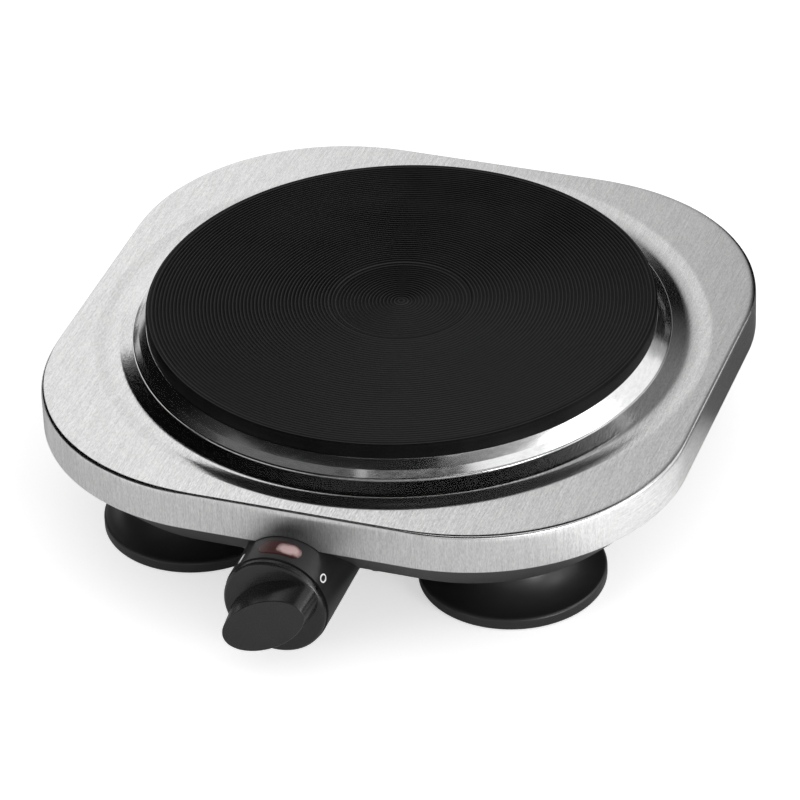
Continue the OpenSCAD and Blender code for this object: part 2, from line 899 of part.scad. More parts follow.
module foot_screws() {
    color("gray")
    for (p = corners)
        translate([p[0], p[1], foot_seat])
            pan_screw(screw_r, boss_top + 4 - foot_seat, 4.2, 2.4);
}

// Moves a part from the plate's axis to its place in the object's frame
module in_place() {
    translate([0, plate_y, 0])
        children();
}

in_place() top_cover();
in_place() cover_brackets();
in_place() hot_plate();
in_place() spill_ring();
in_place() inner_coil();
in_place() outer_coil();
in_place() inner_filler();
in_place() outer_filler();
in_place() plate_backing();
in_place() plate_stud();
in_place() clamp_bar();
in_place() heat_shield();
in_place() plate_washer();
in_place() plate_nut();
in_place() terminal_block();
in_place() plate_terminals();
in_place() thermal_cutout();
in_place() base_pan();
in_place() cord_gland();
in_place() mains_block();
in_place() mains_screws();
in_place() control_housing();
in_place() housing_screws();
in_place() pilot_lens();
in_place() neon_lamp();
in_place() lamp_lead();
in_place() thermostat_frame();
in_place() thermostat_body();
in_place() thermostat_screws();
in_place() contact_leaf();
in_place() bimetal_leaf();
in_place() leaf_post();
in_place() adjust_pin();
in_place() spindle();
in_place() knob();
in_place() knob_clip();
in_place() live_lead();
in_place() neutral_lead();
in_place() switched_lead();
in_place() foot_front_left();
in_place() foot_front_right();
in_place() foot_rear_left();
in_place() foot_rear_right();
in_place() pad_front_left();
in_place() pad_front_right();
in_place() pad_rear_left();
in_place() pad_rear_right();
in_place() foot_screws();
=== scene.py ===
"""Looks of a single electric hot plate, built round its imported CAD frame."""

import logging
import math
from dataclasses import dataclass
from enum import Enum
from typing import Callable, Sequence

import bmesh
import bpy
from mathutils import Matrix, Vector


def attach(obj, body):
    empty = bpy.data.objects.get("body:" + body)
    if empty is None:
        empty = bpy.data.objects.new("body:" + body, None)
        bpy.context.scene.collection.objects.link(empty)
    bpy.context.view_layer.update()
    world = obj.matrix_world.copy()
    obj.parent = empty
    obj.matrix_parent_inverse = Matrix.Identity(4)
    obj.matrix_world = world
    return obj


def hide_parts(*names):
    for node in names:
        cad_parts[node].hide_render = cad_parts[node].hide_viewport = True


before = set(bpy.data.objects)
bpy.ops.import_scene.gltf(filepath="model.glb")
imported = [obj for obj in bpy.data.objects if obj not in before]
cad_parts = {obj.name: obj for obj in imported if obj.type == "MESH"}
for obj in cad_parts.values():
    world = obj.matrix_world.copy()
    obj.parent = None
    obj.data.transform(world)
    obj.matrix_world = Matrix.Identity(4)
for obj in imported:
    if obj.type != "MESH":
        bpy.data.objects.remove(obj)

LOG = logging.getLogger("hot_plate")
MM = 0.001
PLATE_Y = 13.45 * MM
KNOB_X = -2.5 * MM
KNOB_Z = 25.2 * MM
LAMPS_LOOK_AT = (0, 0, 40 * MM)
TOUCHING = 1e-6
ROUNDED_SHARE = 0.45

Piece = bpy.types.Object
Socket = bpy.types.NodeSocket
Triple = tuple[float, float, float]
Profile = Sequence[tuple[float, float]]


class Body(Enum):
    """Bodies of the frame that the pieces ride on."""

    APPLIANCE = "appliance"
    CONTROL = "control_knob"


class Axis(Enum):
    """Axes of an object that a finish looks along."""

    X = "X"
    Z = "Z"


class Sum(Enum):
    """Ways of joining two values in a finish."""

    ADDED = "ADD"
    MULTIPLIED = "MULTIPLY"


def soften(points: Profile, radius: float, steps: int) -> list[tuple[float, float]]:
    """Rounds the inner corners of an open profile.

    Args:
        points: corners of the profile, in millimetres.
        radius: reach of each rounding along its two sides, in millimetres.
        steps: number of short sides that make up one rounding.

    Returns:
        The rounded profile, with its two ends where they were.
    """
    rounded = [points[0]]
    for before, corner, after in zip(points, points[1:], points[2:]):
        here, one, two = Vector(corner), Vector(before), Vector(after)
        shorter = min(ROUNDED_SHARE * (one - here).length, ROUNDED_SHARE * (two - here).length)
        reach = min(radius, shorter)
        start = here + (one - here).normalized() * reach
        end = here + (two - here).normalized() * reach
        for i in range(steps + 1):
            t = i / steps
            point = start * (1 - t) ** 2 + here * (2 * t * (1 - t)) + end * t**2
            rounded.append((point.x, point.y))
    rounded.append(points[-1])
    return rounded


class Bench:
    """Mesh work with Blender's own modelling operators."""

    @staticmethod
    def clear() -> None:
        """Leaves edit mode and deselects every object."""
        if bpy.context.object and bpy.context.object.mode != "OBJECT":
            bpy.ops.object.mode_set(mode="OBJECT")
        bpy.ops.object.select_all(action="DESELECT")

    @classmethod
    def choose(cls, piece: Piece) -> None:
        """Makes a piece the only selected one, and the active one.

        Args:
            piece: the piece.
        """
        cls.clear()
        piece.select_set(True)
        bpy.context.view_layer.objects.active = piece

    @classmethod
    def keep(cls, name: str) -> Piece:
        """Names the active object, opens it in edit mode and selects all of it.

        Args:
            name: name of the piece.

        Returns:
            The piece.
        """
        piece = bpy.context.active_object
        piece.name = name
        piece.data.name = name
        bpy.ops.object.mode_set(mode="EDIT")
        bpy.ops.mesh.select_mode(type="VERT")
        cls.whole()
        return piece

    @staticmethod
    def whole() -> None:
        """Selects the whole mesh in edit mode."""
        bpy.ops.mesh.select_all(action="SELECT")

    @staticmethod
    def pick_edges(piece: Piece, test: Callable[[Vector], bool]) -> None:
        """Selects the edges of a mesh in edit mode whose two ends pass a test.

        Args:
            piece: the object in edit mode.
            test: takes an end's place in metres and says whether it belongs.
        """
        bpy.ops.mesh.select_mode(type="EDGE")
        bpy.ops.mesh.select_all(action="DESELECT")
        mesh = bmesh.from_edit_mesh(piece.data)
        for edge in mesh.edges:
            if all(test(end.co) for end in edge.verts):
                edge.select_set(True)
        mesh.select_flush_mode()
        bmesh.update_edit_mesh(piece.data)

    @staticmethod
    def stretch(x: float, y: float, centre: Sequence[float] = (0, 0, 0)) -> None:
        """Stretches the selection along X and Y about a point."""
        bpy.ops.transform.resize(value=(x, y, 1), center_override=centre)

    @staticmethod
    def raised(height: float) -> None:
        """Extrudes the selected loop of edges straight up by a height in metres."""
        bpy.ops.mesh.extrude_edges_move(TRANSFORM_OT_translate={"value": (0, 0, height)})

    @classmethod
    def lathe(cls, name: str, profile: Profile, steps: int) -> Piece:
        """Turns a profile round the Z axis.

        Args:
            name: name of the piece.
            profile: radius and height of each point, in millimetres, closed on itself or
                on the axis.
            steps: number of steps in the full turn.

        Returns:
            The turned piece, in object mode, with its normals outwards.
        """
        cls.clear()
        bpy.ops.mesh.primitive_plane_add(size=MM)
        piece = cls.keep(name)
        bpy.ops.mesh.merge(type="CENTER")
        places = [Vector((r * MM, 0, z * MM)) for r, z in profile]
        bpy.ops.transform.translate(value=places[0])
        for start, end in zip(places, places[1:]):
            bpy.ops.mesh.extrude_vertices_move(TRANSFORM_OT_translate={"value": end - start})
        cls.whole()
        bpy.ops.mesh.spin(
            steps=steps, angle=math.tau, center=(0, 0, 0), axis=(0, 0, 1), use_auto_merge=True
        )
        cls.close(2 * TOUCHING)
        return piece

    @classmethod
    def close(cls, merge: float = 0.0) -> None:
        """Merges double points, turns the faces outwards and leaves edit mode.

        Args:
            merge: distance within which points are one, in metres; 0 merges none.
        """
        cls.whole()
        if merge:
            bpy.ops.mesh.remove_doubles(threshold=merge)
        bpy.ops.mesh.normals_make_consistent(inside=False)
        bpy.ops.object.mode_set(mode="OBJECT")

    @classmethod
    def place(cls, piece: Piece, at: Sequence[float], turn: Triple = (0, 0, 0)) -> None:
        """Moves a piece to its place and writes the place into its mesh.

        Args:
            piece: the object to move.
            at: where its own origin goes.
            turn: turns about X, Y and Z, in degrees.
        """
        cls.choose(piece)
        piece.location = at
        piece.rotation_euler = [math.radians(a) for a in turn]
        bpy.ops.object.transform_apply(location=True, rotation=True, scale=True)

    @classmethod
    def apply(cls, piece: Piece, kind: str, **settings: object) -> None:
        """Adds a modifier with the given settings and applies it.

        Args:
            piece: the object that gets it.
            kind: Blender's name of the modifier.
            settings: the modifier's properties.
        """
        cls.choose(piece)
        modifier = piece.modifiers.new(kind.lower(), kind)
        for key, value in settings.items():
            setattr(modifier, key, value)
        bpy.ops.object.modifier_apply(modifier=modifier.name)

    @classmethod
    def cut(cls, piece: Piece, tool: Piece) -> None:
        """Cuts one piece out of another.

        Args:
            piece: the piece that stays.
            tool: the piece that cuts and is used up.
        """
        cls.apply(piece, "BOOLEAN", object=tool, operation="DIFFERENCE", solver="EXACT")
        bpy.data.objects.remove(tool)

    @classmethod
    def smooth(cls, piece: Piece, angle: float, weighted: bool = False) -> None:
        """Shades a piece smooth, except over sharper edges than the angle.

        Args:
            piece: the piece.
            angle: the largest smooth bend, in degrees.
            weighted: whether large faces set the shading of the bends beside them.
        """
        cls.choose(piece)
        bpy.ops.object.shade_smooth_by_angle(angle=math.radians(angle))
        if weighted:
            cls.apply(piece, "WEIGHTED_NORMAL", keep_sharp=True)


class NodeSheet:
    """Node tree of one material, read in the object's own coordinates."""

    def __init__(self, name: str) -> None:
        """Starts a material that holds one principled shader.

        Args:
            name: name of the material.
        """
        self.material = bpy.data.materials.new(name)
        self.material.use_nodes = True
        self.tree = self.material.node_tree
        self.tree.nodes.clear()
        self.shader = self.add("ShaderNodeBsdfPrincipled")
        self.coords = self.add("ShaderNodeTexCoord")
        out = self.add("ShaderNodeOutputMaterial")
        self.join(self.shader.outputs["BSDF"], out.inputs["Surface"])

    def add(self, kind: str, **settings: object) -> bpy.types.Node:
        """Adds a node.

        Args:
            kind: Blender's type of the node.
            settings: the node's own properties.

        Returns:
            The node.
        """
        node = self.tree.nodes.new(kind)
        for key, value in settings.items():
            setattr(node, key, value)
        return node

    def join(self, start: Socket, end: Socket) -> None:
        """Links two sockets."""
        self.tree.links.new(start, end)

    def feed(self, name: str, value: Socket) -> None:
        """Links a value to a socket of the shader."""
        self.join(value, self.shader.inputs[name])

    def fixed(self, **values: object) -> None:
        """Sets the shader's own sockets.

        Args:
            values: socket names, with underscores for spaces, and their values.
        """
        for key, value in values.items():
            self.shader.inputs[key.replace("_", " ")].default_value = value

    def stretched(self, scale: Triple, shift: Triple) -> Socket:
        """Gives object coordinates stretched for a grain.

        Args:
            scale: factor along X, Y and Z.
            shift: what is added after the stretch.

        Returns:
            The mapped vector.
        """
        node = self.add("ShaderNodeMapping", vector_type="POINT")
        node.inputs["Scale"].default_value = scale
        node.inputs["Location"].default_value = shift
        self.join(self.coords.outputs["Object"], node.inputs["Vector"])
        return node.outputs["Vector"]

    def noise(
        self,
        scale: float,
        detail: float,
        rough: float,
        stretch: Triple = (1, 1, 1),
        shift: Triple = (0, 0, 0),
    ) -> Socket:
        """Adds a noise.

        Args:
            scale: features in one metre.
            detail: layers of finer noise.
            rough: weight of the finer layers.
            stretch: factor along X, Y and Z; below 1 it draws the grain out.
            shift: what is added after the stretch.

        Returns:
            Its value, about 0.5 in the middle.
        """
        node = self.add("ShaderNodeTexNoise")
        node.inputs["Scale"].default_value = scale
        node.inputs["Detail"].default_value = detail
        node.inputs["Roughness"].default_value = rough
        self.join(self.stretched(stretch, shift), node.inputs["Vector"])
        return node.outputs["Fac"]

    def spread(
        self, value: Socket, low: float, high: float, start: float = 0.3, end: float = 0.7
    ) -> Socket:
        """Maps a value from one range to another.

        Args:
            value: what is mapped.
            low: result at the start of the range.
            high: result at its end.
            start: start of the range.
            end: end of the range.

        Returns:
            The mapped value.
        """
        node = self.add("ShaderNodeMapRange")
        ends = {"From Min": start, "From Max": end, "To Min": low, "To Max": high}
        for key, number in ends.items():
            node.inputs[key].default_value = number
        self.join(value, node.inputs["Value"])
        return node.outputs["Result"]

    def sums(self, one: Socket, two: Socket, how: Sum = Sum.ADDED) -> Socket:
        """Joins two values by arithmetic.

        Args:
            one: the first value.
            two: the second value.
            how: what is done with them.

        Returns:
            The result.
        """
        node = self.add("ShaderNodeMath", operation=how.value)
        self.join(one, node.inputs[0])
        self.join(two, node.inputs[1])
        return node.outputs["Value"]

    def tint(
        self, value: Socket, dark: Triple, light: Triple, start: float = 0.3, end: float = 0.7
    ) -> Socket:
        """Colours a value between two colours.

        Args:
            value: what is coloured.
            dark: colour at the start of the range.
            light: colour at its end.
            start: start of the range.
            end: end of the range.

        Returns:
            The colour.
        """
        node = self.add("ShaderNodeValToRGB")
        first, second = node.color_ramp.elements[0], node.color_ramp.elements[1]
        first.position, second.position = start, end
        first.color, second.color = (*dark, 1), (*light, 1)
        self.join(value, node.inputs["Fac"])
        return node.outputs["Color"]

    def facing(self, axis: Axis, low: float, high: float) -> Socket:
        """Tells how squarely the surface faces along an axis of the object.

        Args:
            axis: the axis.
            low: share of the normal where the answer is 0.
            high: share of the normal where it is 1; it may be the lower one.

        Returns:
            The answer, from 0 to 1.
        """
        split = self.add("ShaderNodeSeparateXYZ")
        self.join(self.coords.outputs["Normal"], split.inputs["Vector"])
        size = self.add("ShaderNodeMath", operation="ABSOLUTE")
        self.join(split.outputs[axis.value], size.inputs[0])
        return self.spread(size.outputs["Value"], 0.0, 1.0, low, high)

    def away(self, centre: Triple, scale: Triple) -> Socket:
        """Measures the distance from a point, with each axis scaled.

        Args:
            centre: the point, in metres.
            scale: factor along X, Y and Z.

        Returns:
            The scaled distance.
        """
        shift = tuple(-c * k for c, k in zip(centre, scale))
        span = self.add("ShaderNodeVectorMath", operation="LENGTH")
        self.join(self.stretched(scale, shift), span.inputs[0])
        return span.outputs["Value"]

    def blend(self, share: Socket, one: Socket, two: Socket) -> Socket:
        """Mixes two values.

        Args:
            share: share of the second value, from 0 to 1.
            one: the first value.
            two: the second value.

        Returns:
            The mixed value.
        """
        node = self.add("ShaderNodeMix", data_type="FLOAT")
        self.join(share, node.inputs["Factor"])
        self.join(one, node.inputs[2])
        self.join(two, node.inputs[3])
        return node.outputs[0]

    def bump(self, height: Socket, strength: float, depth: float) -> None:
        """Raises the surface by a height.

        Args:
            height: the height, from 0 to 1.
            strength: how much of it shows.
            depth: height of 1 in metres.
        """
        node = self.add("ShaderNodeBump")
        node.inputs["Strength"].default_value = strength
        node.inputs["Distance"].default_value = depth
        self.join(height, node.inputs["Height"])
        self.feed("Normal", node.outputs["Normal"])


@dataclass(frozen=True)
class BrushedSteel:
    """Stainless sheet with short scratches along Y that turn down over the edges."""

    name: str = "brushed_steel"
    dark: Triple = (0.58, 0.58, 0.58)
    light: Triple = (0.89, 0.89, 0.885)
    fine: float = 3000
    side_fine: float = 2900
    hair: float = 1500
    contrast: tuple[float, float] = (0.72, 1.28)
    polish: tuple[float, float] = (0.18, 0.12)
    side_matt: float = 0.22
    depth: float = 0.03 * MM

    def build(self) -> bpy.types.Material:
        """Makes the material.

        Returns:
            The material.
        """
        sheet = NodeSheet(self.name)
        fine = sheet.noise(self.fine, 2, 0.7, (1, 0.22, 0.22))
        hair = sheet.noise(self.hair, 3, 0.6, (1, 0.045, 0.045), (0.3, 0, 0))
        side_fine = sheet.noise(self.side_fine, 2, 0.65, (0.2, 0.2, 1), (0, 0.2, 0))
        side_hair = sheet.noise(self.hair, 3, 0.6, (0.05, 0.045, 1), (0, 0.2, 0))
        turned = sheet.facing(Axis.X, 0.75, 0.9)
        hairs = sheet.spread(sheet.blend(turned, hair, side_hair), 0.2, 0.8, 0, 1)
        grain = sheet.sums(sheet.blend(turned, fine, side_fine), hairs)
        level = sheet.spread(grain, 0.0, 1.0, *self.contrast)
        sheet.feed("Base Color", sheet.tint(level, self.dark, self.light, 0.0, 1.0))
        matt = sheet.spread(sheet.facing(Axis.Z, 0.9, 0.2), 0.0, self.side_matt, 0, 1)
        sheet.feed("Roughness", sheet.sums(sheet.spread(level, *self.polish, 0, 1), matt))
        across = sheet.add("ShaderNodeCombineXYZ")
        across.inputs["X"].default_value = 1.0
        sheet.join(turned, across.inputs["Z"])
        sheet.feed("Tangent", across.outputs["Vector"])
        sheet.bump(level, 0.35, self.depth)
        sheet.fixed(Metallic=1.0, Anisotropic=0.8)
        return sheet.material


@dataclass(frozen=True)
class MirrorSteel:
    """Polished sheet, a little wavy from the press."""

    name: str = "mirror_steel"
    dark: Triple = (0.80, 0.80, 0.81)
    light: Triple = (0.90, 0.90, 0.90)
    polish: tuple[float, float] = (0.13, 0.17)

    def build(self) -> bpy.types.Material:
        """Makes the material.

        Returns:
            The material.
        """
        sheet = NodeSheet(self.name)
        wave = sheet.noise(60, 2, 0.5)
        haze = sheet.noise(300, 3, 0.6, (1, 1, 4), (0.5, 0, 0))
        sheet.feed("Base Color", sheet.tint(haze, self.dark, self.light))
        sheet.feed("Roughness", sheet.spread(haze, *self.polish))
        sheet.bump(wave, 0.01, 0.4 * MM)
        sheet.fixed(Metallic=1.0)
        return sheet.material


@dataclass(frozen=True)
class CastIron:
    """Matt black coating on machined cast iron, with painted highlights on the crests of its
    grooves.
    """

    name: str = "cast_iron_black"
    dark: Triple = (0.0008, 0.0008, 0.0009)
    light: Triple = (0.031, 0.031, 0.031)
    pitch: float = 1.33 * MM
    crest_highlight: tuple[float, float] = (0.60, 0.86)
    matt: tuple[float, float] = (0.42, 0.52)

    def build(self) -> bpy.types.Material:
        """Makes the material.

        Returns:
            The material.
        """
        sheet = NodeSheet(self.name)
        grit = sheet.noise(2400, 3, 0.6)
        stain = sheet.noise(30, 3, 0.55, (1, 1, 1), (0.2, 0.1, 0))
        # Painted highlight: on faces that look up, each groove's crest is coloured lighter,
        # standing in for light that catches the real ridges.
        span = sheet.away((0, PLATE_Y, 0), (1 / self.pitch, 1 / self.pitch, 0))
        turn = sheet.add("ShaderNodeMath", operation="FRACT")
        sheet.join(span, turn.inputs[0])
        crest_highlight = sheet.spread(turn.outputs["Value"], 0.0, 1.0, *self.crest_highlight)
        ridge = sheet.sums(crest_highlight, sheet.facing(Axis.Z, 0.3, 0.5), Sum.MULTIPLIED)
        dirt = sheet.sums(sheet.spread(grit, 0.0, 0.2), sheet.spread(stain, 0.0, 0.2))
        sheet.feed(
            "Base Color", sheet.tint(sheet.sums(ridge, dirt), self.dark, self.light, 0.1, 1.2)
        )
        sheet.feed("Roughness", sheet.spread(stain, *self.matt))
        sheet.bump(grit, 0.15, 0.1 * MM)
        sheet.fixed(Specular_IOR_Level=0.06)
        return sheet.material


@dataclass(frozen=True)
class MouldedPlastic:
    """Black moulded plastic with a fine spark-eroded grain.

    Attributes:
        name: name of the material.
        dark: its darker grey.
        light: its lighter grey.
        rough: its roughness.
        grain: strength of the moulded grain.
        warm: how much more red than green and blue it has.
    """

    name: str
    dark: float
    light: float
    rough: float
    grain: float
    warm: float = 0.0

    def build(self) -> bpy.types.Material:
        """Makes the material.

        Returns:
            The material.
        """
        sheet = NodeSheet(self.name)
        grit = sheet.noise(3200, 2, 0.6)
        flow = sheet.noise(45, 3, 0.5, (1, 1, 1), (0.4, 0.2, 0.1))
        greys = (self.dark, self.light)
        shades = [(grey, grey - self.warm, grey - self.warm) for grey in greys]
        sheet.feed("Base Color", sheet.tint(flow, *shades))
        sheet.feed("Roughness", sheet.spread(grit, self.rough - 0.05, self.rough + 0.06))
        sheet.bump(grit, self.grain, 0.08 * MM)
        return sheet.material


@dataclass(frozen=True)
class PlainMetal:
    """Small metal or ceramic part, with light tool marks."""

    name: str
    colour: Triple
    metallic: float = 1.0
    rough: float = 0.35

    def build(self) -> bpy.types.Material:
        """Makes the material.

        Returns:
            The material.
        """
        sheet = NodeSheet(self.name)
        marks = sheet.noise(900, 3, 0.6, (1, 1, 3))
        dim = tuple(c * 0.8 for c in self.colour)
        sheet.feed("Base Color", sheet.tint(marks, dim, self.colour))
        sheet.feed("Roughness", sheet.spread(marks, self.rough - 0.06, self.rough + 0.08))
        sheet.bump(marks, 0.08, 0.1 * MM)
        sheet.fixed(Metallic=self.metallic)
        return sheet.material


@dataclass(frozen=True)
class RedLens:
    """Tinted lens of the pilot lamp, with a pale highlight painted into its colour over the lamp
    behind it.
    """

    name: str = "pilot_red"
    # The pale colour and the patch place and sizes below make a painted highlight; the deep colour
    # is the lens's own red.
    painted_highlight: Triple = (0.66, 0.47, 0.46)
    deep: Triple = (0.050, 0.005, 0.004)
    highlight_at: Triple = (0.8 * MM, PLATE_Y - 124.9 * MM, 44.2 * MM)
    highlight_long: float = 5.2 * MM
    highlight_wide: float = 3.1 * MM

    def build(self) -> bpy.types.Material:
        """Makes the material.

        Returns:
            The material.
        """
        sheet = NodeSheet(self.name)
        flow = sheet.noise(420, 2, 0.5)
        # Painted highlight: the base colour is pale in the middle of the patch and falls to deep
        # red at its edge.
        span = sheet.away(self.highlight_at, (1 / self.highlight_long, 1 / self.highlight_wide, 0))
        glow = sheet.sums(span, sheet.spread(flow, -0.12, 0.12))
        sheet.feed("Base Color", sheet.tint(glow, self.painted_highlight, self.deep, 0.50, 1.0))
        sheet.feed("Roughness", sheet.spread(flow, 0.12, 0.2))
        sheet.bump(flow, 0.08, 0.2 * MM)
        sheet.fixed(Transmission_Weight=0.1, IOR=1.49)
        return sheet.material


@dataclass(frozen=True)
class PrintedInk:
    """White ink of the marks on the control housing."""

    name: str = "white_ink"

    def build(self) -> bpy.types.Material:
        """Makes the material.

        Returns:
            The material.
        """
        sheet = NodeSheet(self.name)
        wear = sheet.noise(1800, 2, 0.5)
        sheet.feed("Base Color", sheet.tint(wear, (0.88, 0.88, 0.88), (0.95, 0.95, 0.95)))
        sheet.fixed(Roughness=0.5)
        return sheet.material


class Finishes:
    """Every finish of the appliance, made once and shared."""

    def __init__(self) -> None:
        """Builds the materials."""
        self.cover = BrushedSteel().build()
        self.ring = MirrorSteel().build()
        self.iron = CastIron().build()
        self.base = MouldedPlastic("base_plastic", 0.028, 0.042, 0.5, 0.2).build()
        self.foot = MouldedPlastic("foot_plastic", 0.014, 0.022, 0.36, 0.08, 0.001).build()
        self.housing = MouldedPlastic("housing_plastic", 0.011, 0.018, 0.36, 0.1).build()
        self.knob = MouldedPlastic("knob_plastic", 0.006, 0.0105, 0.26, 0.06).build()
        self.rubber = MouldedPlastic("pad_rubber", 0.02, 0.035, 0.75, 0.3).build()
        self.lens = RedLens().build()
        self.ink = PrintedInk().build()
        self.zinc = PlainMetal("zinc_plate", (0.62, 0.64, 0.66)).build()
        self.screw = PlainMetal("screw_steel", (0.45, 0.45, 0.46)).build()
        self.brass = PlainMetal("brass", (0.76, 0.56, 0.28)).build()
        self.coil = PlainMetal("coil_wire", (0.36, 0.30, 0.25), 1.0, 0.5).build()
        self.ceramic = PlainMetal("ceramic", (0.80, 0.77, 0.68), 0.0, 0.3).build()
        self.magnesia = PlainMetal("pressed_magnesia", (0.70, 0.67, 0.60), 0.0, 0.85).build()
        self.bulb = PlainMetal("lamp_glass", (0.90, 0.55, 0.32), 0.0, 0.15).build()
        self.brown = PlainMetal("sleeve_brown", (0.16, 0.07, 0.03), 0.0, 0.5).build()
        self.blue = PlainMetal("sleeve_blue", (0.05, 0.13, 0.42), 0.0, 0.5).build()
        self.black = PlainMetal("sleeve_black", (0.02, 0.02, 0.02), 0.0, 0.5).build()
        self.white = PlainMetal("sleeve_white", (0.75, 0.75, 0.72), 0.0, 0.5).build()


def hand_over(
    piece: Piece, body: Body, slot: str, material: bpy.types.Material, *nodes: str
) -> None:
    """Gives a finished piece its finish, its body and the CAD nodes that it stands for.

    Args:
        piece: the piece.
        body: the body that it rides on.
        slot: not used.
        material: its finish.
        nodes: CAD nodes that it replaces.
    """
    piece.data.materials.clear()
    piece.data.materials.append(material)
    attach(piece, body.value)
    if nodes:
        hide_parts(*nodes)
    LOG.info("%s: %d faces on %s", piece.name, len(piece.data.polygons), body.value)


@dataclass
class SteelCover:
    """Pressed cover: a rounded square with a skirt, a spill dish and a raised collar."""

    half: float = 118.5
    corner: float = 77.0
    corner_steps: int = 60
    flat_z: float = 55.2
    skirt: float = 14.8
    edge: float = 4.4
    edge_steps: int = 14
    edge_shape: float = 0.8
    sheet: float = 0.8
    slack: float = 0.2
    lead_in: float = 1.8
    dish: float = 112.0
    dish_slope: float = 3.2
    dish_depth: float = 0.45
    crease: float = 103.8
    hole: float = 94.0
    collar_rise: float = 0.3775
    notch_radius: float = 19.25
    notch_length: float = 12.0

    def profile(self) -> list[tuple[float, float]]:
        """Gives the dish and collar, from the flat top inwards.

        Returns:
            Radius and height of each point, in millimetres.
        """
        trough = self.flat_z - self.dish_depth
        corners = [
            (self.dish + self.lead_in, self.flat_z),
            (self.dish, self.flat_z),
            (self.crease + self.dish_slope, trough),
            (self.crease, trough),
            (self.hole, trough + (self.crease - self.hole) * self.collar_rise),
        ]
        return soften(corners, radius=1.6, steps=5)

    def build(self) -> Piece:
        """Models the cover.

        Returns:
            The finished piece.
        """
        centre = Vector((0, PLATE_Y, self.flat_z * MM))
        profile = self.profile()
        Bench.clear()
        bpy.ops.mesh.primitive_plane_add(size=2 * self.half * MM, location=centre)
        piece = Bench.keep("cover_sheet")
        bpy.ops.mesh.bevel(
            offset=self.corner * MM,
            segments=self.corner_steps,
            affect="VERTICES",
            clamp_overlap=False,
        )
        Bench.whole()
        bpy.ops.mesh.delete(type="ONLY_FACE")
        bpy.ops.mesh.primitive_circle_add(
            vertices=4 * (self.corner_steps + 1), radius=profile[0][0] * MM, location=centre
        )
        Bench.whole()
        bpy.ops.mesh.bridge_edge_loops()
        self.press_dish(piece, profile, centre)
        self.fold_skirt(piece)
        Bench.close(TOUCHING)
        self.face_up(piece)
        Bench.place(piece, piece.location.copy())
        Bench.apply(
            piece, "SOLIDIFY", thickness=self.sheet * MM, offset=-1, use_even_offset=True
        )
        self.notch(piece)
        Bench.smooth(piece, angle=35, weighted=True)
        return piece

    def press_dish(self, piece: Piece, profile: Profile, centre: Vector) -> None:
        """Extrudes the inner loop through the dish and up the collar.

        Args:
            piece: the sheet, in edit mode.
            profile: the dish and collar, from the flat top inwards.
            centre: point on the plate's axis, at the height of the flat top.
        """
        reach = (profile[0][0] + self.slack) * MM
        Bench.pick_edges(piece, lambda end: end.xy.length < reach)
        for (r0, z0), (r1, z1) in zip(profile, profile[1:]):
            Bench.raised((z1 - z0) * MM)
            Bench.stretch(r1 / r0, r1 / r0, centre)

    def fold_skirt(self, piece: Piece) -> None:
        """Extrudes the outer loop down into the skirt and rounds the bend above it.

        Args:
            piece: the sheet, in edit mode.
        """

        def outside(end: Vector) -> bool:
            """Tells the outer loop from the dish by its distance from the plate's axis."""
            return end.xy.length > (self.half - self.slack) * MM and abs(end.z) < 10 * TOUCHING

        Bench.pick_edges(piece, outside)
        Bench.raised(-self.skirt * MM)
        Bench.pick_edges(piece, outside)
        bpy.ops.mesh.bevel(
            offset=self.edge * MM,
            segments=self.edge_steps,
            profile=self.edge_shape,
            affect="EDGES",
            clamp_overlap=False,
        )

    def face_up(self, piece: Piece) -> None:
        """Turns the whole sheet over if its flat top looks down.

        Args:
            piece: the sheet, in object mode.
        """
        top = max(piece.data.polygons, key=lambda face: face.area * abs(face.normal.z))
        if top.normal.z < 0:
            bpy.ops.object.mode_set(mode="EDIT")
            Bench.whole()
            bpy.ops.mesh.flip_normals()
            bpy.ops.object.mode_set(mode="OBJECT")

    def notch(self, piece: Piece) -> None:
        """Cuts the notch where the control housing comes through the skirt.

        Args:
            piece: the folded cover.
        """
        Bench.clear()
        bpy.ops.mesh.primitive_cylinder_add(
            vertices=120,
            radius=self.notch_radius * MM,
            depth=self.notch_length * MM,
            location=(KNOB_X, PLATE_Y - self.half * MM, KNOB_Z),
            rotation=(math.radians(90), 0, 0),
        )
        Bench.cut(piece, bpy.context.active_object)


